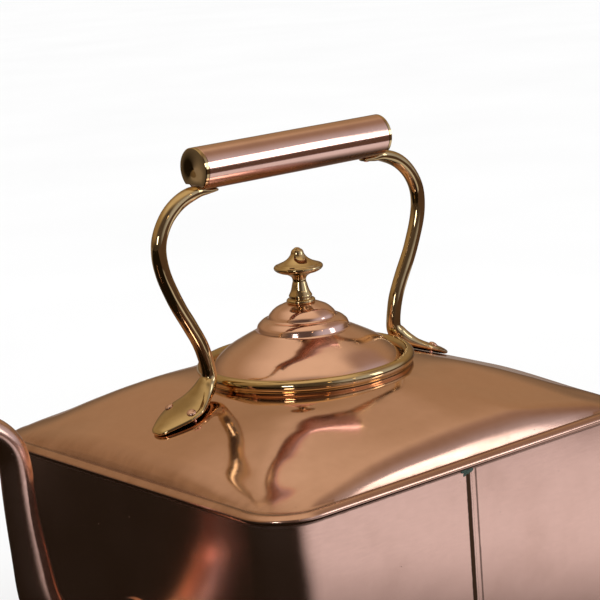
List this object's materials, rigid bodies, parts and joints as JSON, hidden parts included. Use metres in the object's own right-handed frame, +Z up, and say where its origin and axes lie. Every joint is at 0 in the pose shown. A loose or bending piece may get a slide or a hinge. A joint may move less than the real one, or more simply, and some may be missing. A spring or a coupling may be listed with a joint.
{
  "type": "square copper kettle",
  "caption": "Square copper kettle with a domed shoulder, lift-off stepped lid, brass knob, swan-neck spout and a fixed brass handle with a copper grip.",
  "frame": {"origin": "centre of the flat underside of the base, on the face the kettle rests on", "axes": "+Z up; -X towards the spout; the handle's grip runs along X; the kettle is symmetrical about the XZ plane but for the side lap"},
  "size_m": [0.3201, 0.237, 0.2914],
  "materials": {
    "copper_body": "old polished copper sheet, softly dented, with brown tarnish in the seams",
    "copper_lid": "polished copper, mirror-like",
    "copper_grip": "bright polished copper tube",
    "copper_rivet": "peened copper, tarnished round the edge",
    "tinned_copper": "dull tinned inside",
    "cast_brass": "polished old cast brass, olive-gold with dark patina in the hollows",
    "turned_brass": "turned and polished brass",
    "wood_core": "plain turned beech"
  },
  "bodies": {
    "body": {"base_plate": "copper_body", "spout_side_sheet": "copper_body", "far_side_sheet": "copper_body", "shoulder": "copper_body", "mouth_collar": "tinned_copper", "filler_ring": "cast_brass", "spout": "copper_body", "far_arm": "cast_brass", "spout_side_arm": "cast_brass", "far_foot_rivets": "copper_rivet", "spout_side_foot_rivets": "copper_rivet", "far_foot_burrs": "copper_rivet", "spout_side_foot_burrs": "copper_rivet", "grip_tube": "copper_grip", "grip_core": "wood_core", "grip_rivets": "copper_rivet", "far_end_disc": "cast_brass", "spout_side_end_disc": "cast_brass"},
    "lid": {"lid_dome": "copper_lid", "lid_flange": "tinned_copper", "lid_knob": "turned_brass", "knob_stud": "turned_brass", "knob_washer": "copper_rivet"}
  },
  "joints": [
    {"name": "lid_lift", "type": "slide", "parent": "body", "child": "lid", "axis": [0, 0, 1], "range_m": [0, 0.034]}
  ]
}
